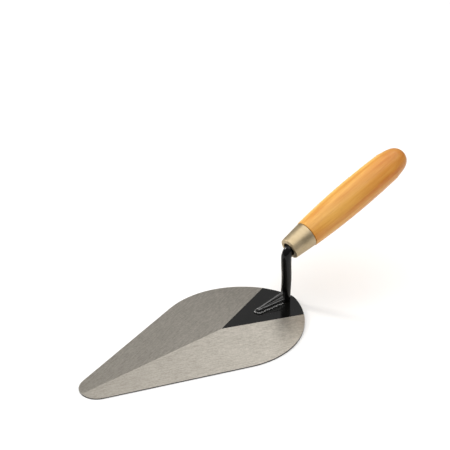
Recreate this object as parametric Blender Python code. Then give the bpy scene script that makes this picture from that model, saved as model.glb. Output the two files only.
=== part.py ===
"""Brick trowel: taper-ground blade, welded swan-neck shank, ferrule and turned wooden handle.

Metres. +Z is up, +X points to the tip of the blade, and the blade's flat underside lies on
Z = 0. The tool is symmetrical about the plane Y = 0, and its length is centred on X = 0.
"""
from math import cos, pi, radians, sin, tan

import bmesh
import bpy
from mathutils import Matrix, Vector

# Clearance left between neighbouring pieces.
GAP = 0.0003

# Where the heel, the blade's rear end, stands on the X axis.
HEEL_X = -0.0477

# Half of the blade's outline, from the heel to the tip: arcs as (radius, turn in degrees).
# The straight flank between the two groups takes the length that brings the tip back to Y = 0.
HEEL_ARCS = ((0.0139, 15.9), (0.0804, 34.9), (0.0719, 58.3))
TIP_ARCS = ((0.0471, 2.9), (0.0155, 68.0))
ARC_STEP = 3.0

# The blade is full thickness on a plateau that narrows to an apex, and each side is ground
# down from there: the plateau's edges run at PLATEAU_HALF_ANGLE to the centreline.
BLADE_THICKNESS = 0.00297
APEX_X = 0.0828
PLATEAU_HALF_ANGLE = radians(21.6)
GRIND_SLOPE = 0.0311

# The post rises from the plateau, slightly bowed and slimmer below, and bends into the handle.
POST_X = 0.0096
POST_BASE_SHIFT = 0.0004
POST_BOW = 0.0008
POST_RADIUS = 0.0045
POST_BASE_RADIUS = 0.00425
BEND_RADIUS = 0.0095
POST_STEPS = 8
BEND_STEPS = 8
HANDLE_PITCH = radians(20.4)
HANDLE_JOINT = Vector((-0.0139, 0.0, 0.0621))

# The tang: a bar inside the handle that tapers and turns from round to square.
TANG_REACH = 0.050
TANG_TIP_RADIUS = 0.0022
TANG_STEPS = 6
ROUND = 2.0
SQUARE = 5.0
SHANK_SIDES = 24

# The foot runs forward from the post: a low bar with a ridge that falls towards the nose.
FOOT_BACK_X = 0.0085
FOOT_NOSE_X = 0.0428
FOOT_NOSE_LENGTH = 0.0022
FOOT_BACK_WIDTH = 0.0056
FOOT_FRONT_WIDTH = 0.0040
FOOT_SHOULDER_Z = 0.0063
FOOT_CREST_WIDTH = 0.0012
FOOT_CREST_BACK_Z = 0.0136
FOOT_CREST_FRONT_Z = 0.0068
FOOT_NOSE_Z = 0.0050
FOOT_STEPS = 6
NOSE_ANGLES = (30.0, 50.0, 65.0, 80.0)

# The weld bead: a fillet laid round the foot's sides and nose. Its section is given as shares
# of its width and height, from the foot outwards.
BEAD_BACK_X = 0.0152
BEAD_WIDTH = 0.0021
BEAD_HEIGHT = 0.0018
BEAD_SECTION = ((0.0, 0.0), (0.0, 1.0), (0.35, 0.85), (0.75, 0.45), (1.0, 0.0))

# The ferrule: a tapered tube whose front end is rolled inwards.
FERRULE_LENGTH = 0.022
FERRULE_BACK_RADIUS = 0.0120
FERRULE_FRONT_RADIUS = 0.0099
FERRULE_WALL = 0.0010
FERRULE_MOUTH_RADIUS = 0.0062
FERRULE_LIP = 0.0011
FERRULE_ROLL = 0.0013
FERRULE_CHAMFER = 0.0003

# The handle: a swelling grip with a domed end, and a spigot inside the ferrule.
HANDLE_LENGTH = 0.1243
HANDLE_FRONT_RADIUS = 0.0125
HANDLE_FRONT_ROUND = 0.0005
HANDLE_SWELL_RADIUS = 0.0150
HANDLE_SWELL_AT = 0.062
HANDLE_SHOULDER_RADIUS = 0.0140
HANDLE_SHOULDER_AT = 0.103
HANDLE_DOME_TAPER = 0.27
HANDLE_DOME_POWER = 5.0
SPIGOT_RECESS = 0.0040
BARREL_STEPS = 16
DOME_ANGLES = (90, 82, 74, 66, 58, 50, 42, 34, 26, 18, 10)
TURNED_SIDES = 48
MERGE_DISTANCE = 0.00001

# Edges that bend by more than these angles stay crisp when the faces are shaded smooth.
BLADE_CREASE = radians(20.0)
SHANK_CREASE = radians(40.0)
BEAD_CREASE = radians(60.0)


def clear_scene():
    for item in list(bpy.data.objects):
        bpy.data.objects.remove(item, do_unlink=True)


def make_material(name, colour, roughness, metallic):
    material = bpy.data.materials.new(name)
    material.use_nodes = True
    shader = material.node_tree.nodes["Principled BSDF"]
    shader.inputs["Base Color"].default_value = (*colour, 1.0)
    shader.inputs["Roughness"].default_value = roughness
    shader.inputs["Metallic"].default_value = metallic
    return material


def make_object(name, bm, parent, material=None, smooth_angle=None):
    """Turn a bmesh into an object under parent, with its faces pointing out."""
    bmesh.ops.recalc_face_normals(bm, faces=bm.faces)
    mesh = bpy.data.meshes.new(name)
    bm.to_mesh(mesh)
    bm.free()
    if smooth_angle is not None:
        mesh.shade_smooth()
        mesh.set_sharp_from_angle(angle=smooth_angle)
    item = bpy.data.objects.new(name, mesh)
    item.parent = parent
    bpy.context.collection.objects.link(item)
    if material is not None:
        mesh.materials.append(material)
    return item


def make_empty(name, parent, matrix):
    empty = bpy.data.objects.new(name, None)
    empty.parent = parent
    empty.matrix_local = matrix
    bpy.context.collection.objects.link(empty)
    return empty


def make_cutter(item):
    item.display_type = "WIRE"
    item.hide_render = True
    return item


def add_boolean(item, other, operation):
    modifier = item.modifiers.new(operation.title(), "BOOLEAN")
    modifier.operation = operation
    modifier.solver = "EXACT"
    modifier.object = make_cutter(other)


# ---- Shape helpers ----

def follow_arcs(point, heading, arcs):
    """Walk arcs that turn clockwise, and return their points, end point and end heading."""
    points = []
    for radius, turn in arcs:
        steps = max(2, round(turn / ARC_STEP))
        centre = point + radius * Vector((sin(heading), -cos(heading)))
        for step in range(1, steps + 1):
            angle = heading - radians(turn) * step / steps
            points.append(centre + radius * Vector((-sin(angle), cos(angle))))
        point = points[-1]
        heading -= radians(turn)
    return points, point, heading


def superellipse(centre, across, along, half_across, half_along, power):
    """A closed ring |u|^power + |v|^power = 1 in the plane of two unit vectors."""
    ring = []
    for side in range(SHANK_SIDES):
        angle = 2.0 * pi * side / SHANK_SIDES
        u = abs(cos(angle)) ** (2.0 / power) * (1.0 if cos(angle) >= 0.0 else -1.0)
        v = abs(sin(angle)) ** (2.0 / power) * (1.0 if sin(angle) >= 0.0 else -1.0)
        ring.append(centre + across * (half_across * u) + along * (half_along * v))
    return ring


def loft(rings):
    """Join closed rings in order, and cap both ends."""
    bm = bmesh.new()
    loops = [[bm.verts.new(point) for point in ring] for ring in rings]
    count = len(loops[0])
    for lower, upper in zip(loops, loops[1:]):
        for index in range(count):
            after = (index + 1) % count
            bm.faces.new((lower[index], lower[after], upper[after], upper[index]))
    bm.faces.new(loops[0])
    bm.faces.new(loops[-1])
    return bm


def turn_profile(name, profile, closed, parent, material):
    """Turn (radius, height) points about the local Z axis with a Screw modifier."""
    bm = bmesh.new()
    points = [bm.verts.new((radius, 0.0, height)) for radius, height in profile]
    for start, end in zip(points, points[1:]):
        bm.edges.new((start, end))
    if closed:
        bm.edges.new((points[-1], points[0]))
    mesh = bpy.data.meshes.new(name)
    bm.to_mesh(mesh)
    bm.free()
    mesh.materials.append(material)
    item = bpy.data.objects.new(name, mesh)
    item.parent = parent
    bpy.context.collection.objects.link(item)
    screw = item.modifiers.new("Turn", "SCREW")
    screw.axis = "Z"
    screw.angle = 2.0 * pi
    screw.steps = TURNED_SIDES
    screw.render_steps = TURNED_SIDES
    screw.use_merge_vertices = True
    screw.merge_threshold = MERGE_DISTANCE
    screw.use_smooth_shade = True
    return item


# ---- Blade ----

def blade_outline():
    """The closed outline, counter-clockwise from the heel's point on the centreline."""
    heel = Vector((0.0, 0.0))
    rear, rear_end, heading = follow_arcs(heel, pi / 2.0, HEEL_ARCS)
    front, front_end, _ = follow_arcs(Vector((0.0, 0.0)), heading, TIP_ARCS)
    flank = (rear_end.y + front_end.y) / -sin(heading)
    shift = rear_end + flank * Vector((cos(heading), sin(heading)))
    half = [heel, *rear, shift, *(shift + point for point in front)]
    mirrored = [Vector((point.x, -point.y)) for point in half[1:-1]]
    return mirrored + half[:0:-1] + [heel]


def build_blade(parent, material):
    bm = bmesh.new()
    base = bm.faces.new([bm.verts.new((*point, 0.0)) for point in blade_outline()])
    extruded = bmesh.ops.extrude_face_region(bm, geom=[base])
    top = [item for item in extruded["geom"] if isinstance(item, bmesh.types.BMVert)]
    bmesh.ops.translate(bm, verts=top, vec=(0.0, 0.0, BLADE_THICKNESS))
    for side in (1.0, -1.0):
        normal = Vector((
            GRIND_SLOPE * sin(PLATEAU_HALF_ANGLE),
            side * GRIND_SLOPE * cos(PLATEAU_HALF_ANGLE),
            1.0,
        ))
        bmesh.ops.bisect_plane(
            bm,
            geom=[*bm.verts, *bm.edges, *bm.faces],
            plane_co=(APEX_X, 0.0, BLADE_THICKNESS),
            plane_no=normal,
            clear_outer=True,
        )
        rim = [edge for edge in bm.edges if edge.is_boundary]
        bmesh.ops.holes_fill(bm, edges=rim, sides=0)
    return make_object("blade", bm, parent, material, BLADE_CREASE)


# ---- Shank ----

def handle_direction():
    """Unit vector along the handle, from the ferrule to the butt."""
    return Vector((-cos(HANDLE_PITCH), 0.0, sin(HANDLE_PITCH)))


def neck_rings():
    """Rings up the post, over the bend, to where the straight tang starts."""
    across = Vector((0.0, 1.0, 0.0))
    forward = Vector((1.0, 0.0, 0.0))
    turn = pi / 2.0 - HANDLE_PITCH
    corner_z = HANDLE_JOINT.z - (POST_X - HANDLE_JOINT.x) * tan(HANDLE_PITCH)
    bend_start_z = corner_z - BEND_RADIUS * tan(turn / 2.0)
    base_z = BLADE_THICKNESS + GAP
    rings = []
    for step in range(POST_STEPS):
        share = step / POST_STEPS
        down = 1.0 - share
        centre = Vector((
            POST_X - POST_BASE_SHIFT * down ** 2 - POST_BOW * sin(pi * down) ** 2,
            0.0,
            base_z + share * (bend_start_z - base_z),
        ))
        radius = POST_BASE_RADIUS + (POST_RADIUS - POST_BASE_RADIUS) * share ** 2
        rings.append(superellipse(centre, across, forward, radius, radius, ROUND))
    pivot = Vector((POST_X - BEND_RADIUS, 0.0, bend_start_z))
    for step in range(BEND_STEPS + 1):
        angle = turn * step / BEND_STEPS
        outward = Vector((cos(angle), 0.0, sin(angle)))
        centre = pivot + BEND_RADIUS * outward
        rings.append(superellipse(centre, across, outward, POST_RADIUS, POST_RADIUS, ROUND))
    return rings


def tang_rings(start, end, clearance):
    """Rings along the handle's axis, measured from the ferrule's rear end."""
    across = Vector((0.0, 1.0, 0.0))
    outward = Vector((sin(HANDLE_PITCH), 0.0, cos(HANDLE_PITCH)))
    tang_start = bend_end()
    rings = []
    for step in range(TANG_STEPS + 1):
        place = start + (end - start) * step / TANG_STEPS
        share = min(max((place - tang_start) / (TANG_REACH - tang_start), 0.0), 1.0)
        radius = POST_RADIUS + (TANG_TIP_RADIUS - POST_RADIUS) * share + clearance
        power = ROUND + (SQUARE - ROUND) * share
        centre = HANDLE_JOINT + place * handle_direction()
        rings.append(superellipse(centre, across, outward, radius, radius, power))
    return rings


def bend_end():
    """Where the bend meets the handle's axis, measured from the ferrule's rear end."""
    turn = pi / 2.0 - HANDLE_PITCH
    corner = -(POST_X - HANDLE_JOINT.x) / cos(HANDLE_PITCH)
    return corner + BEND_RADIUS * tan(turn / 2.0)


def foot_half_width(x):
    """Half of the foot's width at its base, which closes in an ellipse at the nose."""
    share = (x - FOOT_BACK_X) / (FOOT_NOSE_X - FOOT_BACK_X)
    width = FOOT_BACK_WIDTH + (FOOT_FRONT_WIDTH - FOOT_BACK_WIDTH) * share
    into_nose = max(0.0, x - (FOOT_NOSE_X - FOOT_NOSE_LENGTH)) / FOOT_NOSE_LENGTH
    return 0.5 * width * max(0.0, 1.0 - into_nose ** 2) ** 0.5


def foot_stations():
    """X stations along the foot, closer together round the nose."""
    straight_end = FOOT_NOSE_X - FOOT_NOSE_LENGTH
    spacing = (straight_end - FOOT_BACK_X) / FOOT_STEPS
    straight = [FOOT_BACK_X + spacing * step for step in range(FOOT_STEPS + 1)]
    nose = [straight_end + FOOT_NOSE_LENGTH * sin(radians(angle)) for angle in NOSE_ANGLES]
    return straight + nose


def foot_ring(x):
    """A ridge section: base, upright sides up to the shoulder, then slopes to a narrow crest."""
    base_z = BLADE_THICKNESS + GAP
    share = (x - FOOT_BACK_X) / (FOOT_NOSE_X - FOOT_BACK_X)
    half = foot_half_width(x)
    full = 0.5 * (FOOT_BACK_WIDTH + (FOOT_FRONT_WIDTH - FOOT_BACK_WIDTH) * share)
    crest_z = FOOT_CREST_BACK_Z + (FOOT_CREST_FRONT_Z - FOOT_CREST_BACK_Z) * share
    fall = half / full
    shoulder_z = FOOT_NOSE_Z + (FOOT_SHOULDER_Z - FOOT_NOSE_Z) * fall
    crest_z = FOOT_NOSE_Z + (crest_z - FOOT_NOSE_Z) * fall
    crest_half = 0.5 * FOOT_CREST_WIDTH * fall
    side = [(half, base_z), (half, shoulder_z), (crest_half, crest_z)]
    other_side = [(-y, z) for y, z in reversed(side)]
    return [Vector((x, y, z)) for y, z in side + other_side]


def build_shank(parent, material):
    """One forging: the post, the bend and the tang, united with the foot."""
    tang_start = bend_end()
    step = (TANG_REACH - tang_start) / TANG_STEPS
    rings = neck_rings() + tang_rings(tang_start + step, TANG_REACH, 0.0)
    shank = make_object("shank", loft(rings), parent, material, SHANK_CREASE)
    foot = make_object("foot_form", loft([foot_ring(x) for x in foot_stations()]), parent)
    add_boolean(shank, foot, "UNION")
    return shank


# ---- Weld bead ----

def bead_path():
    """Points of the foot's base outline with outward normals, from one side round the nose."""
    stations = [x for x in foot_stations() if x > BEAD_BACK_X]
    side = [Vector((x, foot_half_width(x), 0.0)) for x in [BEAD_BACK_X, *stations]]
    nose = Vector((FOOT_NOSE_X, 0.0, 0.0))
    points = [*side, nose, *(Vector((p.x, -p.y, 0.0)) for p in reversed(side))]
    path = []
    for index, point in enumerate(points):
        before = points[max(index - 1, 0)]
        after = points[min(index + 1, len(points) - 1)]
        ahead = (after - before).normalized()
        path.append((point, Vector((-ahead.y, ahead.x, 0.0))))
    return path


def build_weld(parent, material):
    rings = []
    for point, outward in bead_path():
        foot = point + GAP * outward + Vector((0.0, 0.0, BLADE_THICKNESS + GAP))
        out = BEAD_WIDTH * outward
        up = Vector((0.0, 0.0, BEAD_HEIGHT))
        rings.append([foot + out_share * out + up_share * up for out_share, up_share in BEAD_SECTION])
    return make_object("weld_bead", loft(rings), parent, material, BEAD_CREASE)


# ---- Ferrule and handle, in the handle's own frame: +Z runs from the ferrule to the butt ----

def ferrule_outer_radius(z):
    share = -z / FERRULE_LENGTH
    return FERRULE_BACK_RADIUS + (FERRULE_FRONT_RADIUS - FERRULE_BACK_RADIUS) * share


def build_ferrule(parent, material):
    front = -FERRULE_LENGTH
    roll_top = front + FERRULE_ROLL
    roll_centre = ferrule_outer_radius(roll_top) - FERRULE_ROLL
    roll = [
        (
            roll_centre + FERRULE_ROLL * cos(radians(angle)),
            roll_top - FERRULE_ROLL * sin(radians(angle)),
        )
        for angle in (0, 30, 60, 90)
    ]
    chamfer = FERRULE_CHAMFER
    lip_top = front + FERRULE_LIP
    profile = [
        (FERRULE_BACK_RADIUS - chamfer, 0.0),
        (ferrule_outer_radius(-chamfer), -chamfer),
        *roll,
        (FERRULE_MOUTH_RADIUS + chamfer, front),
        (FERRULE_MOUTH_RADIUS, front + chamfer),
        (FERRULE_MOUTH_RADIUS, lip_top),
        (ferrule_outer_radius(lip_top) - FERRULE_WALL, lip_top),
        (FERRULE_BACK_RADIUS - FERRULE_WALL, 0.0),
    ]
    return turn_profile("ferrule", profile, True, parent, material)


def grip_radius(z):
    """Radius of the grip: parabolas up to the swell and down to the shoulder, then a blunt dome."""
    if z < HANDLE_SWELL_AT:
        share = 1.0 - z / HANDLE_SWELL_AT
        return HANDLE_SWELL_RADIUS - (HANDLE_SWELL_RADIUS - HANDLE_FRONT_RADIUS) * share ** 2
    if z < HANDLE_SHOULDER_AT:
        share = (z - HANDLE_SWELL_AT) / (HANDLE_SHOULDER_AT - HANDLE_SWELL_AT)
        return HANDLE_SWELL_RADIUS - (HANDLE_SWELL_RADIUS - HANDLE_SHOULDER_RADIUS) * share ** 2
    share = (z - HANDLE_SHOULDER_AT) / (HANDLE_LENGTH - HANDLE_SHOULDER_AT)
    cone = 1.0 - HANDLE_DOME_TAPER * share
    return HANDLE_SHOULDER_RADIUS * cone * max(0.0, 1.0 - share ** HANDLE_DOME_POWER) ** 0.5


def build_handle(parent, world_parent, material):
    dome_depth = HANDLE_LENGTH - HANDLE_SHOULDER_AT
    dome = [HANDLE_SHOULDER_AT + dome_depth * sin(radians(angle)) for angle in DOME_ANGLES]
    barrel = [HANDLE_SHOULDER_AT * (1.0 - step / BARREL_STEPS) for step in range(BARREL_STEPS)]
    profile = [(grip_radius(z), z) for z in dome + barrel]
    spigot_front = -FERRULE_LENGTH + SPIGOT_RECESS
    spigot_gap = FERRULE_WALL + GAP
    profile += [
        (HANDLE_FRONT_RADIUS, GAP + HANDLE_FRONT_ROUND),
        (HANDLE_FRONT_RADIUS - HANDLE_FRONT_ROUND, GAP),
        (ferrule_outer_radius(0.0) - spigot_gap, GAP),
        (ferrule_outer_radius(spigot_front) - spigot_gap, spigot_front),
        (0.0, spigot_front),
    ]
    handle = turn_profile("handle", profile, False, parent, material)
    hole = loft(tang_rings(bend_end() - GAP, TANG_REACH + GAP, GAP))
    add_boolean(handle, make_object("tang_hole_form", hole, world_parent), "DIFFERENCE")
    return handle


def main():
    clear_scene()
    steel = make_material("ground_steel", (0.46, 0.43, 0.39), 0.36, 1.0)
    lacquer = make_material("black_lacquer", (0.012, 0.012, 0.011), 0.22, 0.0)
    weld_lacquer = make_material("lacquered_weld", (0.020, 0.020, 0.019), 0.38, 0.0)
    plating = make_material("ferrule_plating", (0.60, 0.51, 0.36), 0.30, 1.0)
    wood = make_material("varnished_wood", (0.80, 0.43, 0.13), 0.30, 0.0)

    heel = make_empty("heel", None, Matrix.Translation((HEEL_X, 0.0, 0.0)))
    tilt = Matrix.Rotation(HANDLE_PITCH - pi / 2.0, 4, "Y")
    handle_axis = make_empty("handle_axis", heel, Matrix.Translation(HANDLE_JOINT) @ tilt)

    build_blade(heel, steel)
    build_shank(heel, lacquer)
    build_weld(heel, weld_lacquer)
    build_ferrule(handle_axis, plating)
    build_handle(handle_axis, heel, wood)


main()
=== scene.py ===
import bmesh
import bpy
import numpy as np
from mathutils import Matrix, Vector


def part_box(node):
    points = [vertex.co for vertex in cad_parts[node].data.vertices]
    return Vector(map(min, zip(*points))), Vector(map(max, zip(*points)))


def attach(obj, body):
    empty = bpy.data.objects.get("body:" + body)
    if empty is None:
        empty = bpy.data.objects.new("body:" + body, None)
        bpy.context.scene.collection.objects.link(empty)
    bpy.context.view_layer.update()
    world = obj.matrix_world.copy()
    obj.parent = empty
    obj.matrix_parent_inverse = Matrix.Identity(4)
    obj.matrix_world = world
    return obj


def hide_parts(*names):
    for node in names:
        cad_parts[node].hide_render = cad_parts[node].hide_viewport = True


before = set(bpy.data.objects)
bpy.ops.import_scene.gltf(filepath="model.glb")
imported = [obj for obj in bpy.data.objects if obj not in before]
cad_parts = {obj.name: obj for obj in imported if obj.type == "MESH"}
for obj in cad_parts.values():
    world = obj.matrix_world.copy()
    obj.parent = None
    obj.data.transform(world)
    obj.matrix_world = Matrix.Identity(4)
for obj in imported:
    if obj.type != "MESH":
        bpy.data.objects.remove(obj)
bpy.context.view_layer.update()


# ---- Camera ----
# A portrait lens a little over a metre away looks down along the tool from beyond its tip,
# so that the blade runs off to the lower left and the handle to the upper right.
view_azimuth = np.radians(141.01)
view_elevation = np.radians(29.46)
view_distance = 1.15
look_at = Vector((-0.0207, -0.0640, 0.0580))

toward_camera = Vector((
    np.sin(view_azimuth) * np.cos(view_elevation),
    -np.cos(view_azimuth) * np.cos(view_elevation),
    np.sin(view_elevation),
))
camera = bpy.data.objects.new("camera", bpy.data.cameras.new("camera"))
camera.data.lens = 102.2
camera.data.sensor_width = 36.0
camera.location = look_at + view_distance * toward_camera
camera.rotation_euler = toward_camera.to_track_quat("Z", "Y").to_euler()
bpy.context.scene.collection.objects.link(camera)
bpy.context.scene.camera = camera


# ---- Blade ----
# One piece of spring steel plate, lacquered black, ground bare below and taper-ground on both
# upper sides. That leaves a raised triangle of lacquer at the heel and a ridge out to the tip.
heel_arcs = ((0.0139, 15.9), (0.0804, 34.9), (0.0719, 58.3))
tip_arcs = ((0.0471, 2.9), (0.0155, 68.0))
blade_low, blade_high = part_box("blade")
apex_x = blade_low.x + 0.0828
plateau_angle = np.radians(21.6)
grind_slope = 0.0311
edge_round = 0.00022
tip_radius = tip_arcs[-1][0]
outline_steps, outline_rows, top_columns, edge_columns = 40001, 261, 24, 6
corner_guard, core_guard = 0.0002, 0.004
merge_distance = 1e-7


def merge_and_shade(mesh, sharp_angle):
    """Points that coincide, as at a pole or a seam, become one, and faces turn outwards."""
    bm = bmesh.new()
    bm.from_mesh(mesh)
    bmesh.ops.remove_doubles(bm, verts=bm.verts, dist=merge_distance)
    bmesh.ops.recalc_face_normals(bm, faces=bm.faces)
    bm.to_mesh(mesh)
    bm.free()
    mesh.shade_smooth()
    mesh.set_sharp_from_angle(angle=np.radians(sharp_angle))


def surface(name, grid, wrap_rows=False, wrap_columns=False, sharp_angle=35.0):
    """An object on a grid of points: every cell between four neighbours is one face."""
    index = np.arange(grid.shape[0] * grid.shape[1]).reshape(grid.shape[:2])
    if wrap_rows:
        index = np.vstack((index, index[:1]))
    if wrap_columns:
        index = np.hstack((index, index[:, :1]))
    faces = np.stack((index[:-1, :-1], index[1:, :-1], index[1:, 1:], index[:-1, 1:]), axis=-1)
    mesh = bpy.data.meshes.new(name)
    mesh.from_pydata(grid.reshape(-1, 3).tolist(), [], faces.reshape(-1, 4).tolist())
    merge_and_shade(mesh, sharp_angle)
    piece = bpy.data.objects.new(name, mesh)
    bpy.context.scene.collection.objects.link(piece)
    return piece


def half_outline(flank):
    """Distance, x, y and heading along half of the outline, from the heel at the origin.

    The heading starts at a right angle and falls by length over radius along each arc. It stays
    the same along the straight flank. Running sums of its cosine and sine give x and y.
    """
    arcs = [*heel_arcs, None, *tip_arcs]
    lengths = np.array([flank if arc is None else arc[0] * np.radians(arc[1]) for arc in arcs])
    curves = np.array([0.0 if arc is None else 1.0 / arc[0] for arc in arcs])
    along = np.linspace(0.0, lengths.sum(), outline_steps)
    middle = 0.5 * (along[1:] + along[:-1])
    curve = curves[np.searchsorted(np.cumsum(lengths), middle)]
    heading = np.pi / 2.0 - np.concatenate(([0.0], np.cumsum(curve * along[1])))
    halfway = 0.5 * (heading[1:] + heading[:-1])
    x = np.concatenate(([0.0], np.cumsum(np.cos(halfway) * along[1])))
    y = np.concatenate(([0.0], np.cumsum(np.sin(halfway) * along[1])))
    return along, x, y, heading


def past_plateau(x, y):
    """Distance outwards from the nearer edge of the plateau, and less than nothing on it."""
    return (x - apex_x) * np.sin(plateau_angle) + np.abs(y) * np.cos(plateau_angle)


def blade_grid():
    """Rows go round the outline; columns run out over the top, round the edge and back below.

    A row starts at the apex behind it and on the ridge ahead of it, so the plateau's edges and
    the ridge are lines of the grid. The top's height is the full thickness, less the grind's
    slope times the distance past the plateau. The edges are quarter circles.
    """
    flank_heading = np.pi / 2.0 - np.radians(sum(turn for _, turn in heel_arcs))
    flank = half_outline(0.0)[2][-1] / -np.sin(flank_heading)
    along, x, y, heading = half_outline(flank)
    x = blade_low.x + x * (blade_high.x - blade_low.x) / x[-1]
    y = y * blade_high.y / y.max()
    corner = along[np.argmax(past_plateau(x, y) > 0.0)]
    by_corner = corner + np.array((-corner_guard, 0.0, corner_guard))
    rows = np.union1d(np.linspace(0.0, along[-1], outline_rows), by_corner)
    x, y, heading = (np.interp(rows, along, values) for values in (x, y, heading))
    y[[0, -1]] = 0.0
    edge = np.stack((x, y), axis=-1)
    outward = np.stack((-np.sin(heading), np.cos(heading)), axis=-1)
    mirror = np.array((1.0, -1.0))
    edge = np.concatenate((edge, edge[-2:0:-1] * mirror))[:, None]
    outward = np.concatenate((outward, outward[-2:0:-1] * mirror))[:, None]
    core_x = np.clip(edge[..., 0], apex_x, blade_high.x - tip_radius)
    core = np.stack((core_x, 0.0 * core_x), axis=-1)

    evenly = np.linspace(0.04, 0.96, top_columns)
    share = np.concatenate(((0.0, core_guard), evenly, (1.0 - core_guard, 1.0)))
    turn = np.linspace(0.0, np.pi / 2.0, edge_columns)[1:]
    reach = np.concatenate((share, np.ones(turn.size)))[None, :, None]
    out = np.concatenate((0.0 * share, np.sin(turn)))[None, :, None]
    drop = np.concatenate((0.0 * share, 1.0 - np.cos(turn)))[None, :] * edge_round
    inner_edge = edge - outward * edge_round
    flat = core + reach * (inner_edge - core) + outward * edge_round * out
    inside = core + reach * (inner_edge - core)
    past = past_plateau(inside[..., 0], inside[..., 1])
    height = blade_high.z - grind_slope * np.maximum(past, 0.0)
    upper = np.concatenate((flat, (height - drop)[..., None]), axis=-1)
    lower = np.concatenate((flat, (drop + 0.0 * height)[..., None]), axis=-1)
    return np.concatenate((upper, lower[:, ::-1]), axis=1)


def lay_grind_map(mesh):
    """A UV map in metres whose U runs along the grinding marks, parallel to each plateau edge.

    On the plateau and below, U runs along the blade. The plateau and the rim get the lacquer.
    """
    corners = np.empty(len(mesh.loops), np.int32)
    mesh.loops.foreach_get("vertex_index", corners)
    places = np.empty(len(mesh.vertices) * 3, np.float32)
    mesh.vertices.foreach_get("co", places)
    places = places.reshape(-1, 3)[corners]
    totals = np.empty(len(mesh.polygons), np.int32)
    mesh.polygons.foreach_get("loop_total", totals)
    centres = np.empty(len(mesh.polygons) * 3, np.float32)
    mesh.polygons.foreach_get("center", centres)
    centres = centres.reshape(-1, 3)
    normals = np.empty(len(mesh.polygons) * 3, np.float32)
    mesh.polygons.foreach_get("normal", normals)
    rising = normals.reshape(-1, 3)[:, 2]
    past = past_plateau(centres[:, 0], centres[:, 1])
    lacquered = ((past < 0.0) & (rising > -0.5)) | (np.abs(rising) < 0.5)
    ground = (past >= 0.0) & (rising > 0.5)
    tilt = np.where(ground, -np.sign(centres[:, 1]) * plateau_angle, 0.0)
    tilt = np.repeat(tilt, totals)
    along = places[:, 0] * np.cos(tilt) + places[:, 1] * np.sin(tilt)
    across = places[:, 1] * np.cos(tilt) - places[:, 0] * np.sin(tilt)
    layer = mesh.uv_layers.new(name="grind")
    layer.uv.foreach_set("vector", np.stack((along, across), axis=-1).astype(np.float32).ravel())
    mesh.polygons.foreach_set("material_index", lacquered.astype(np.int32))


def node(tree, kind, sockets, **settings):
    """A node with its sockets, given by name or number, set to a value or linked to an output."""
    made = tree.nodes.new(kind)
    for name, value in settings.items():
        setattr(made, name, value)
    for key, value in sockets.items():
        if isinstance(value, bpy.types.NodeSocket):
            tree.links.new(value, made.inputs[key])
        else:
            made.inputs[key].default_value = value
    return made


def new_material(name, **shader_values):
    """A material, its node tree and its Principled shader, with the shader's own constants set."""
    made = bpy.data.materials.new(name)
    made.use_nodes = True
    shader = made.node_tree.nodes["Principled BSDF"]
    for key, value in shader_values.items():
        shader.inputs[key.replace("_", " ")].default_value = value
    return made, made.node_tree, shader


def noise(tree, place, scale, detail=3.0, roughness=0.5):
    """A noise pattern between 0 and 1 whose grain is the inverse of scale along each axis."""
    stretched = node(tree, "ShaderNodeMapping", {"Vector": place, "Scale": scale})
    values = {"Vector": stretched.outputs[0], "Scale": 1.0, "Detail": detail, "Roughness": roughness}
    return node(tree, "ShaderNodeTexNoise", values).outputs[0]


def remap(tree, value, low, high, to_low, to_high):
    """value taken from the range low to high into the range to_low to to_high, and kept in it."""
    sockets = {0: value, 1: low, 2: high, 3: to_low, 4: to_high}
    return node(tree, "ShaderNodeMapRange", sockets).outputs[0]


def calculate(tree, operation, first, second):
    """The result of one arithmetic step on two values."""
    return node(tree, "ShaderNodeMath", {0: first, 1: second}, operation=operation).outputs[0]


def blend_colours(tree, share, first, second):
    """first where share is 0 and second where it is 1."""
    sockets = {0: share, 6: first, 7: second}
    return node(tree, "ShaderNodeMix", sockets, data_type="RGBA").outputs[2]


def bump(tree, shader, height, distance, strength=1.0):
    """Lets height, in units of distance, tilt the shader's normal."""
    sockets = {"Height": height, "Distance": distance, "Strength": strength}
    made = node(tree, "ShaderNodeBump", sockets)
    tree.links.new(made.outputs[0], shader.inputs["Normal"])


steel, tree, shader = new_material(
    "ground_steel", Metallic=1.0, Anisotropic=0.7, Anisotropic_Rotation=0.25,
)
grind_map = node(tree, "ShaderNodeUVMap", {}, uv_map="grind").outputs[0]
own_place = node(tree, "ShaderNodeTexCoord", {}).outputs["Object"]
scratches = noise(tree, grind_map, (60.0, 3600.0, 1.0), 4.0, 0.6)
streaks = noise(tree, grind_map, (110.0, 800.0, 1.0), 3.0, 0.6)
mottle = noise(tree, own_place, (620.0, 620.0, 620.0), 3.0, 0.6)
clouds = noise(tree, own_place, (45.0, 45.0, 45.0), 3.0)
streak_tone = remap(tree, streaks, 0.35, 0.65, 0.0, 0.45)
mottle_tone = remap(tree, mottle, 0.35, 0.65, 0.0, 0.40)
tone = calculate(tree, "ADD", streak_tone, mottle_tone)
tone = calculate(tree, "ADD", tone, remap(tree, clouds, 0.3, 0.7, 0.0, 0.15))
colour = blend_colours(tree, tone, (0.33, 0.305, 0.265, 1.0), (0.59, 0.553, 0.495, 1.0))
# Painted shade: the steel colour darkens towards the tip to stand in for the light that falls off
# there.
toward_tip = node(tree, "ShaderNodeSeparateXYZ", {0: own_place}).outputs[0]
painted_tip_shade = remap(tree, toward_tip, float(apex_x), float(blade_high.x), 0.0, 0.36)
colour = blend_colours(tree, painted_tip_shade, colour, (0.22, 0.20, 0.17, 1.0))
tree.links.new(colour, shader.inputs["Base Color"])
scratch_wear = remap(tree, scratches, 0.3, 0.7, 0.0, 0.6)
mottle_wear = remap(tree, mottle, 0.3, 0.7, 0.0, 0.4)
wear = calculate(tree, "ADD", scratch_wear, mottle_wear)
tree.links.new(remap(tree, wear, 0.0, 1.0, 0.30, 0.44), shader.inputs["Roughness"])
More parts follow.
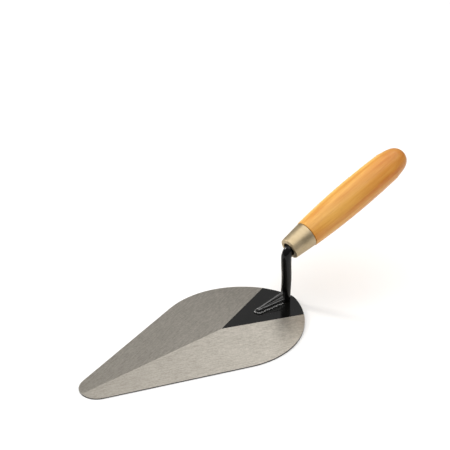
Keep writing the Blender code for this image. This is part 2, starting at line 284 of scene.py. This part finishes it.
bump(tree, shader, calculate(tree, "ADD", scratches, mottle), 0.00002, 0.6)
tangent = node(tree, "ShaderNodeTangent", {}, direction_type="UV_MAP", uv_map="grind")
tree.links.new(tangent.outputs[0], shader.inputs["Tangent"])

lacquer, tree, shader = new_material("black_lacquer", Specular_IOR_Level=0.45)
own_place = node(tree, "ShaderNodeTexCoord", {}).outputs["Object"]
clouds = noise(tree, own_place, (70.0, 70.0, 70.0), 4.0)
peel = noise(tree, own_place, (900.0, 900.0, 900.0), 2.0)
colour = blend_colours(tree, clouds, (0.002, 0.002, 0.0018, 1.0), (0.006, 0.006, 0.0055, 1.0))
tree.links.new(colour, shader.inputs["Base Color"])
tree.links.new(remap(tree, clouds, 0.3, 0.7, 0.08, 0.15), shader.inputs["Roughness"])
bump(tree, shader, peel, 0.00002, 0.35)

blade = surface("blade_steel", blade_grid(), wrap_rows=True)
lay_grind_map(blade.data)
blade.data.materials.append(steel)
blade.data.materials.append(lacquer)
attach(blade, "root")
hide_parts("blade")


# ---- Shank ----
# A steel forging, lacquered with the blade: the foot lies on the plateau and its ridge climbs to
# the post, which bends over at the top and ends in a square tang driven into the handle.
gap = 0.0003
handle_pitch = np.radians(20.4)
joint = Vector((blade_low.x - 0.0139, 0.0, 0.0621))
post_x = blade_low.x + 0.0096
post_shift, post_bow = 0.0004, 0.0008
post_radius, post_base_radius = 0.0045, 0.00425
bend_radius = 0.0095
tang_reach, tang_tip_radius = 0.050, 0.0022
foot_back, foot_nose, foot_nose_length = blade_low.x + 0.0085, blade_low.x + 0.0428, 0.0022
foot_back_width, foot_front_width, foot_crest_width = 0.0056, 0.0040, 0.0012
shoulder_z, crest_back_z, crest_front_z, nose_z = 0.0063, 0.0136, 0.0068, 0.0050
foot_flank = (
    (1.0, 0.0), (0.68, 0.07), (0.42, 0.24), (0.24, 0.52), (0.18, 0.85), (0.10, 0.96), (0.0, 1.0),
)
post_power, tang_power = 2.25, 5.0
post_steps, bend_steps, tang_steps = 90, 36, 60
foot_steps, nose_steps, nose_last_angle = 60, 14, 88.0
floor_of_foot = blade_high.z + gap
ring_angles = np.linspace(0.0, 2.0 * np.pi, 48, endpoint=False)


def swept_bar(centres, outward, radii, powers):
    """Rings |u|^power + |v|^power = 1 along a path in the plane Y = 0, closed at both ends."""
    u = np.sign(np.cos(ring_angles)) * np.abs(np.cos(ring_angles)) ** (2.0 / powers[:, None])
    v = np.sign(np.sin(ring_angles)) * np.abs(np.sin(ring_angles)) ** (2.0 / powers[:, None])
    x = centres[:, :1] + radii[:, None] * v * outward[:, :1]
    z = centres[:, 1:] + radii[:, None] * v * outward[:, 1:]
    rings = np.stack((x, radii[:, None] * u, z), axis=-1)
    middle = rings.mean(axis=1, keepdims=True) + 0.0 * rings
    return np.concatenate((middle[:1], rings, middle[-1:]))


def neck_and_tang():
    """The post, whose centreline bows by a squared sine, an arc, and the straight tapered tang."""
    turn = np.pi / 2.0 - handle_pitch
    corner_z = joint.z - (post_x - joint.x) * np.tan(handle_pitch)
    bend_start = corner_z - bend_radius * np.tan(turn / 2.0)
    bend_end = -(post_x - joint.x) / np.cos(handle_pitch) + bend_radius * np.tan(turn / 2.0)
    share = np.linspace(0.0, 1.0, post_steps)[:-1]
    down = 1.0 - share
    post = np.stack((
        post_x - post_shift * down ** 2 - post_bow * np.sin(np.pi * down) ** 2,
        floor_of_foot + share * (bend_start - floor_of_foot),
    ), axis=-1)
    angle = np.linspace(0.0, turn, bend_steps)[:, None]
    around = np.concatenate((np.cos(angle), np.sin(angle)), axis=1)
    bend = np.array((post_x - bend_radius, bend_start)) + bend_radius * around
    along = np.linspace(bend_end, tang_reach, tang_steps)[1:, None]
    tang_heading = np.array((-np.cos(handle_pitch), np.sin(handle_pitch)))
    tang = np.array((joint.x, joint.z)) + along * tang_heading
    taper = ((along - bend_end) / (tang_reach - bend_end))[:, 0]
    centres = np.concatenate((post, bend, tang))
    outward = np.concatenate((0.0 * post + np.array((1.0, 0.0)), around, 0.0 * tang + around[-1]))
    radii = np.concatenate((
        post_base_radius + (post_radius - post_base_radius) * share ** 2,
        np.full(len(bend), post_radius),
        post_radius + (tang_tip_radius - post_radius) * taper,
    ))
    squaring = post_power + (tang_power - post_power) * taper
    powers = np.concatenate((np.full(len(post) + len(bend), post_power), squaring))
    return swept_bar(centres, outward, radii, powers)


def foot_half_width(x):
    """Half of a width that shrinks evenly along the foot, times an ellipse over the nose."""
    share = (x - foot_back) / (foot_nose - foot_back)
    width = foot_back_width + (foot_front_width - foot_back_width) * share
    into_nose = np.clip((x - foot_nose) / foot_nose_length + 1.0, 0.0, 1.0)
    return 0.5 * width, 0.5 * width * np.sqrt(1.0 - into_nose ** 2)


def foot_form():
    """Sections of the foot: base, upright sides, and a ridge that falls from the post to the nose.

    Between the shoulder and the rounded crest each flank is hollow. It is drawn through shares
    of the way out from the crest and of the rise over the shoulder.
    """
    angle = np.radians(np.linspace(0.0, nose_last_angle, nose_steps))
    nose = foot_nose - foot_nose_length * (1.0 - np.sin(angle))
    x = np.concatenate((np.linspace(foot_back, nose[0], foot_steps)[:-1], nose))
    share = (x - foot_back) / (foot_nose - foot_back)
    full, half = foot_half_width(x)
    fall = half / full
    crest = nose_z + (crest_back_z + (crest_front_z - crest_back_z) * share - nose_z) * fall
    shoulder = nose_z + (shoulder_z - nose_z) * fall
    crest_half = 0.5 * foot_crest_width * fall
    base = np.full(x.size, floor_of_foot)
    flank = [(crest_half + out * (half - crest_half), shoulder + rise * (crest - shoulder))
             for out, rise in foot_flank]
    side = [(half, base), *flank]
    ring = side + [(-y, z) for y, z in reversed(side)]
    points = np.stack([np.stack((x, y, z), axis=-1) for y, z in ring], axis=1)
    middle = points.mean(axis=1, keepdims=True) + 0.0 * points
    return np.concatenate((middle[:1], points, middle[-1:]))


def fused(name, forms, voxel, smoothing):
    """Overlapping closed forms as one skin, with its inner corners softened as a forging's are."""
    bm = bmesh.new()
    for form in forms:
        bm.from_mesh(form.data)
        bpy.data.objects.remove(form)
    mesh = bpy.data.meshes.new(name)
    bm.to_mesh(mesh)
    bm.free()
    draft = bpy.data.objects.new(name + "_draft", mesh)
    bpy.context.scene.collection.objects.link(draft)
    remesh = draft.modifiers.new("Fuse", "REMESH")
    remesh.mode = "VOXEL"
    remesh.voxel_size = voxel
    smooth = draft.modifiers.new("Soften", "SMOOTH")
    smooth.factor = 0.5
    smooth.iterations = smoothing
    evaluated = draft.evaluated_get(bpy.context.evaluated_depsgraph_get())
    skin = bpy.data.meshes.new_from_object(evaluated)
    bpy.data.objects.remove(draft)
    skin.shade_smooth()
    piece = bpy.data.objects.new(name, skin)
    bpy.context.scene.collection.objects.link(piece)
    return piece


forged, tree, shader = new_material(
    "lacquered_forging", Specular_IOR_Level=0.12, Coat_Weight=0.25, Coat_Roughness=0.06,
)
own_place = node(tree, "ShaderNodeTexCoord", {}).outputs["Object"]
clouds = noise(tree, own_place, (120.0, 120.0, 120.0), 4.0)
scale_marks = noise(tree, own_place, (330.0, 330.0, 200.0), 3.0)
colour = blend_colours(tree, clouds, (0.001, 0.001, 0.001, 1.0), (0.003, 0.003, 0.003, 1.0))
tree.links.new(colour, shader.inputs["Base Color"])
tree.links.new(remap(tree, clouds, 0.3, 0.7, 0.16, 0.30), shader.inputs["Roughness"])
bump(tree, shader, scale_marks, 0.0002, 0.4)

foot_skin, tree, shader = new_material(
    "lacquered_foot", Specular_IOR_Level=0.9, Coat_Weight=0.8, Coat_Roughness=0.1,
)
own_place = node(tree, "ShaderNodeTexCoord", {}).outputs["Object"]
clouds = noise(tree, own_place, (260.0, 260.0, 260.0), 4.0)
pits = noise(tree, own_place, (420.0, 420.0, 420.0), 2.0)
colour = blend_colours(tree, clouds, (0.001, 0.001, 0.001, 1.0), (0.004, 0.004, 0.004, 1.0))
tree.links.new(colour, shader.inputs["Base Color"])
tree.links.new(remap(tree, clouds, 0.3, 0.7, 0.16, 0.30), shader.inputs["Roughness"])
bump(tree, shader, pits, 0.00015, 0.3)

forms = [
    surface("neck_form", neck_and_tang(), wrap_columns=True),
    surface("foot_form", foot_form(), wrap_columns=True),
]
shank = fused("forged_shank", forms, voxel=0.0003, smoothing=5)
shank.data.materials.append(forged)
shank.data.materials.append(foot_skin)
centres = np.empty(len(shank.data.polygons) * 3, np.float32)
shank.data.polygons.foreach_get("center", centres)
centres = centres.reshape(-1, 3)
on_foot = (centres[:, 0] > post_x + 0.6 * post_radius) & (centres[:, 2] < crest_back_z)
shank.data.polygons.foreach_set("material_index", on_foot.astype(np.int32))
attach(shank, "root")
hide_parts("shank")


# ---- Weld bead ----
# The run of weld that holds the foot to the blade, laid from one side round the nose to the
# other. Each puddle froze as a ripple over the one before, and the lacquer follows the ripples.
bead_back = blade_low.x + 0.0152
bead_width, bead_height = 0.0021, 0.0018
ripple_pitch, ripple_depth = 0.0017, 0.28
long_wave, short_wave = 0.0017, 0.00071
edge_wave, edge_drift, edge_depth = 0.00052, 0.0019, 0.16
side_steps, nose_turn_steps, section_steps = 260, 60, 22


def weld_grid():
    """A domed section carried along the foot's outline, which swells and shrinks with each ripple.

    Height is a sine across the section, higher on the foot's side. Its size along the path is
    the absolute value of a sine at the ripples' pitch, two more sines make it uneven, and the
    outer edge wavers by a sine whose phase drifts.
    """
    turn = np.linspace(0.0, np.pi / 2.0, nose_turn_steps)
    side_x = np.linspace(bead_back, foot_nose - foot_nose_length, side_steps)[:-1]
    x = np.concatenate((side_x, foot_nose - foot_nose_length * (1.0 - np.sin(turn))))
    y = foot_half_width(x)[1]
    x = np.concatenate((x, x[-2::-1]))
    y = np.concatenate((y, -y[-2::-1]))
    ahead = np.stack((np.gradient(x), np.gradient(y)), axis=-1)
    ahead /= np.linalg.norm(ahead, axis=1, keepdims=True)
    along = np.cumsum(np.hypot(np.gradient(x), np.gradient(y)))
    outward = np.stack((-ahead[:, 1], ahead[:, 0]), axis=-1)[:, None]
    ripple = 1.0 - ripple_depth + ripple_depth * np.abs(np.sin(np.pi * along / ripple_pitch))
    uneven = 1.0 - 0.08 * (1.0 + np.sin(along / long_wave))
    uneven = uneven - 0.05 * (1.0 + np.sin(along / short_wave + 1.0))
    size = (ripple * uneven)[:, None]
    waver = np.sin(along / edge_wave + 2.0 * np.sin(along / edge_drift))[:, None]
    spread = 1.0 - edge_depth + edge_depth * waver
    arc = np.linspace(0.0, np.pi, section_steps)[None]
    out = gap + bead_width * spread * 0.5 * (1.0 - np.cos(arc))
    out = np.concatenate((out, gap + 0.0 * size), axis=1)
    up = bead_height * size * np.sin(arc) ** 0.6 * (1.0 - 0.25 * (1.0 - np.cos(arc)))
    up = np.concatenate((up, 0.0 * size), axis=1)
    flat = np.stack((x, y), axis=-1)[:, None] + outward * out[..., None]
    rings = np.concatenate((flat, (floor_of_foot + up)[..., None]), axis=-1)
    middle = rings.mean(axis=1, keepdims=True) + 0.0 * rings
    return np.concatenate((middle[:1], rings, middle[-1:]))


weld_skin, tree, shader = new_material(
    "lacquered_weld", Specular_IOR_Level=1.0, Coat_Weight=0.9, Coat_Roughness=0.1,
)
own_place = node(tree, "ShaderNodeTexCoord", {}).outputs["Object"]
grains = noise(tree, own_place, (900.0, 900.0, 900.0), 4.0)
colour = blend_colours(tree, grains, (0.003, 0.003, 0.003, 1.0), (0.010, 0.010, 0.009, 1.0))
tree.links.new(colour, shader.inputs["Base Color"])
tree.links.new(remap(tree, grains, 0.3, 0.7, 0.18, 0.34), shader.inputs["Roughness"])
bump(tree, shader, grains, 0.0002, 0.5)

weld = surface("weld_ripples", weld_grid(), wrap_columns=True, sharp_angle=70.0)
weld.data.materials.append(weld_skin)
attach(weld, "root")
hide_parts("weld_bead")


# ---- Ferrule ----
# A drawn steel cone with a pale brassy plating. Its front end is spun inwards to a rounded lip
# round the tang, and its rear end stops against the shoulder of the wood.
ferrule_length = 0.022
ferrule_back_radius, ferrule_front_radius = 0.0120, 0.0099
ferrule_wall, mouth_radius, lip_depth = 0.0010, 0.0062, 0.0011
roll_radius, rim_round = 0.0013, 0.00028
turned_angles = np.linspace(0.0, 2.0 * np.pi, 160, endpoint=False)
handle_frame = Matrix.Translation(joint) @ Matrix.Rotation(handle_pitch - np.pi / 2.0, 4, "Y")


def turned_grid(radius, height):
    """A profile of radius and height turned about the handle's axis, from the ferrule to the butt."""
    x = radius[:, None] * np.cos(turned_angles)
    y = radius[:, None] * np.sin(turned_angles)
    local = np.stack((x, y, height[:, None] + 0.0 * x), axis=-1)
    frame_matrix = np.array(handle_frame)
    return local @ frame_matrix[:3, :3].T + frame_matrix[:3, 3]


def lay_turned_map(mesh):
    """A UV map in metres, with U along the handle's axis and V round it on a 12 mm radius."""
    corners = np.empty(len(mesh.loops), np.int32)
    mesh.loops.foreach_get("vertex_index", corners)
    places = np.empty(len(mesh.vertices) * 3, np.float32)
    mesh.vertices.foreach_get("co", places)
    inverse = np.array(handle_frame.inverted())
    local = places.reshape(-1, 3) @ inverse[:3, :3].T + inverse[:3, 3]
    round_it = np.arctan2(local[:, 1], local[:, 0])[corners]
    totals = np.empty(len(mesh.polygons), np.int32)
    mesh.polygons.foreach_get("loop_total", totals)
    starts = np.concatenate(([0], np.cumsum(totals)[:-1]))
    reference = np.repeat(round_it[starts], totals)
    round_it = reference + (round_it - reference + np.pi) % (2.0 * np.pi) - np.pi
    layer = mesh.uv_layers.new(name="turned")
    pair = np.stack((local[corners, 2], 0.012 * round_it), axis=-1)
    layer.uv.foreach_set("vector", pair.astype(np.float32).ravel())


def quarter(centre_radius, centre_height, size, start, end):
    """Points of an arc in the profile, from one angle to another in degrees."""
    angle = np.radians(np.linspace(start, end, 9))
    return centre_radius + size * np.cos(angle), centre_height + size * np.sin(angle)


def ferrule_radius(height):
    """The cone's outer radius, which shrinks evenly from the rear rim to the front."""
    taper = (ferrule_back_radius - ferrule_front_radius) / ferrule_length
    return ferrule_back_radius + taper * height


def ferrule_profile():
    """Rear rim, cone, rolled front, lip and bore, as one closed loop of arcs and straight runs."""
    cone = np.linspace(-rim_round, roll_radius - ferrule_length, 40)
    roll_centre = ferrule_radius(cone[-1]) - roll_radius
    lip_centre = mouth_radius + 0.5 * lip_depth
    inner = np.linspace(lip_depth - ferrule_length, -0.0002, 12)
    runs = [
        quarter(ferrule_back_radius - rim_round, -rim_round, rim_round, 90.0, 0.0),
        (ferrule_radius(cone), cone),
        quarter(roll_centre, cone[-1], roll_radius, 0.0, -90.0),
        quarter(lip_centre, 0.5 * lip_depth - ferrule_length, 0.5 * lip_depth, -90.0, -270.0),
        (ferrule_radius(inner) - ferrule_wall, inner),
    ]
    return np.concatenate([run[0] for run in runs]), np.concatenate([run[1] for run in runs])


plating, tree, shader = new_material("ferrule_plating", Metallic=1.0)
turned_map = node(tree, "ShaderNodeUVMap", {}, uv_map="turned").outputs[0]
own_place = node(tree, "ShaderNodeTexCoord", {}).outputs["Object"]
draw_lines = noise(tree, turned_map, (90.0, 1500.0, 1.0), 3.0)
rings = noise(tree, turned_map, (3000.0, 25.0, 1.0), 2.0)
tarnish = noise(tree, own_place, (160.0, 160.0, 160.0), 4.0)
cleanness = remap(tree, tarnish, 0.3, 0.7, 0.0, 1.0)
colour = blend_colours(tree, cleanness, (0.41, 0.325, 0.20, 1.0), (0.53, 0.43, 0.28, 1.0))
tree.links.new(colour, shader.inputs["Base Color"])
tree.links.new(remap(tree, tarnish, 0.3, 0.7, 0.40, 0.52), shader.inputs["Roughness"])
marks = calculate(tree, "ADD", draw_lines, rings)
bump(tree, shader, marks, 0.00002, 0.5)

ferrule = surface("plated_ferrule", turned_grid(*ferrule_profile()), True, True)
lay_turned_map(ferrule.data)
ferrule.data.materials.append(plating)
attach(ferrule, "root")
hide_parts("ferrule")


# ---- Handle ----
# Turned from one piece of pale hardwood and varnished. It swells to fill the palm, is blunt at
# the butt, and its spigot is pressed into the ferrule with the tang driven up its middle.
handle_length = 0.1243
front_radius, swell_radius, shoulder_radius = 0.01245, 0.01495, 0.01395
swell_at, shoulder_at = 0.062, 0.103
dome_taper, dome_power = 0.27, 5.0
front_round = 0.0006
butt_steps, grip_steps = 60, 130
spigot_front = 0.0040 - ferrule_length
tang_hole = ((0.0048, spigot_front), (0.0031, tang_reach + gap), (0.0, tang_reach + gap))


def grip_radius(height):
    """Parabolas up to the swell and down to the shoulder, then a cone rounded off to the butt."""
    rising = np.clip(1.0 - height / swell_at, 0.0, 1.0)
    falling = np.clip((height - swell_at) / (shoulder_at - swell_at), 0.0, 1.0)
    dome = np.clip((height - shoulder_at) / (handle_length - shoulder_at), 0.0, 1.0)
    radius = swell_radius - (swell_radius - front_radius) * rising ** 2
    radius = radius - (swell_radius - shoulder_radius) * falling ** 2
    return radius * (1.0 - dome_taper * dome) * np.sqrt(1.0 - dome ** dome_power)


def handle_profile():
    """Butt, grip, front shoulder, spigot and tang hole, from the axis round to the axis."""
    angle = np.linspace(0.0, np.pi / 2.0, butt_steps)
    butt = handle_length - (handle_length - shoulder_at) * (1.0 - np.cos(angle))
    grip = np.linspace(shoulder_at, gap + front_round, grip_steps)[1:]
    shoulder = quarter(front_radius - front_round, gap + front_round, front_round, 0.0, 90.0)
    shoulder = (shoulder[0], 2.0 * (gap + front_round) - shoulder[1])
    spigot = np.array(((ferrule_radius(0.0) - ferrule_wall - gap, gap),
                       (ferrule_radius(spigot_front) - ferrule_wall - gap, spigot_front), *tang_hole))
    radius = np.concatenate((grip_radius(butt), grip_radius(grip), shoulder[0], spigot[:, 0]))
    height = np.concatenate((butt, grip, shoulder[1], spigot[:, 1]))
    return radius, height


wood, tree, shader = new_material(
    "varnished_wood", Coat_Weight=0.3, Coat_Roughness=0.14, Specular_IOR_Level=0.2,
)
own_place = node(tree, "ShaderNodeTexCoord", {}).outputs["Object"]
turned_back = node(tree, "ShaderNodeMapping", {
    "Vector": own_place,
    "Rotation": (0.0, float(np.pi / 2.0 - handle_pitch), 0.0),
}).outputs[0]
growth = noise(tree, turned_back, (190.0, 130.0, 7.0), 3.0)
fibres = noise(tree, turned_back, (900.0, 900.0, 22.0), 4.0, 0.6)
pores = noise(tree, turned_back, (2600.0, 2600.0, 110.0), 2.0)
patches = noise(tree, turned_back, (40.0, 40.0, 14.0), 2.0)
growth_tone = remap(tree, growth, 0.37, 0.63, 0.0, 0.55)
tone = calculate(tree, "ADD", growth_tone, remap(tree, fibres, 0.3, 0.7, 0.0, 0.15))
# Painted light and shade: the wood is lighter on the far side, which faces the key light, and darker on
# the near side.
sideways = node(tree, "ShaderNodeSeparateXYZ", {0: turned_back}).outputs[1]
waver = remap(tree, patches, 0.3, 0.7, -0.004, 0.004)
painted_side_light = remap(tree, calculate(tree, "ADD", sideways, waver), -0.012, 0.014, 0.50, -0.08)
tone = calculate(tree, "ADD", tone, painted_side_light)
colour = blend_colours(tree, tone, (0.61, 0.195, 0.020, 1.0), (0.90, 0.53, 0.125, 1.0))
colour = blend_colours(tree, remap(tree, pores, 0.60, 0.75, 0.0, 0.35), colour, (0.42, 0.15, 0.03, 1.0))
up_the_handle = node(tree, "ShaderNodeSeparateXYZ", {0: turned_back}).outputs[2]
along_handle = Vector((-np.cos(handle_pitch), 0.0, np.sin(handle_pitch)))
butt_height = float(handle_frame.to_translation() @ along_handle + handle_length)
# The wood's colour darkens over the last 26 mm towards the butt.
darker_toward_butt = remap(tree, up_the_handle, butt_height - 0.026, butt_height, 0.0, 0.85)
colour = blend_colours(tree, darker_toward_butt, colour, (0.50, 0.17, 0.026, 1.0))
tree.links.new(colour, shader.inputs["Base Color"])
tree.links.new(remap(tree, fibres, 0.3, 0.7, 0.34, 0.46), shader.inputs["Roughness"])
bump(tree, shader, calculate(tree, "ADD", fibres, pores), 0.00004, 0.4)

handle = surface("turned_handle", turned_grid(*handle_profile()), wrap_columns=True)
handle.data.materials.append(wood)
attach(handle, "root")
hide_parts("handle")


# ---- Floor and light ----
# A seamless pale table under a wide overhead softbox, with a small key light beyond the tool on
# the camera's left and a room that is brighter above than at its horizon.
table_half = 4.0
table_corners = [
    (-table_half, -table_half, 0.0),
    (table_half, -table_half, 0.0),
    (table_half, table_half, 0.0),
    (-table_half, table_half, 0.0),
]
floor_mesh = bpy.data.meshes.new("floor")
floor_mesh.from_pydata(table_corners, [], [(0, 1, 2, 3)])
floor = bpy.data.objects.new("floor", floor_mesh)
bpy.context.scene.collection.objects.link(floor)
pale, tree, shader = new_material("pale_table", Roughness=0.9)
own_place = node(tree, "ShaderNodeTexCoord", {}).outputs["Object"]
grain = noise(tree, own_place, (6.0, 6.0, 6.0), 3.0)
colour = blend_colours(tree, grain, (0.94, 0.94, 0.94, 1.0), (0.96, 0.96, 0.96, 1.0))
tree.links.new(colour, shader.inputs["Base Color"])
floor_mesh.materials.append(pale)


def softbox(name, place, aim, width, height, power, colour):
    """A rectangular area light at place that faces aim."""
    light = bpy.data.lights.new(name, "AREA")
    light.shape = "RECTANGLE"
    light.size = width
    light.size_y = height
    light.energy = power
    light.color = colour
    made = bpy.data.objects.new(name, light)
    made.location = place
    made.rotation_euler = (Vector(place) - Vector(aim)).to_track_quat("Z", "Y").to_euler()
    bpy.context.scene.collection.objects.link(made)


softbox("ceiling_softbox", (-0.2, 0.0, 1.6), (-0.2, 0.0, 0.0), 2.4, 2.4, 30.0, (1.0, 0.99, 0.97))
softbox("key_softbox", (0.62, -1.28, 0.76), (0.0, 0.0, 0.05), 0.30, 0.30, 8.0, (1.0, 0.98, 0.95))

world = bpy.data.worlds.new("studio")
world.use_nodes = True
tree = world.node_tree
background = tree.nodes["Background"]
direction = node(tree, "ShaderNodeTexCoord", {}).outputs["Generated"]
rise = node(tree, "ShaderNodeSeparateXYZ", {0: direction}).outputs[2]
upward = remap(tree, rise, 0.0, 0.9, 0.0, 1.0)
room = blend_colours(tree, upward, (0.22, 0.22, 0.22, 1.0), (0.60, 0.60, 0.60, 1.0))
tree.links.new(room, background.inputs["Color"])
background.inputs["Strength"].default_value = 0.8
bpy.context.scene.world = world
bpy.context.scene.view_settings.view_transform = "Standard"
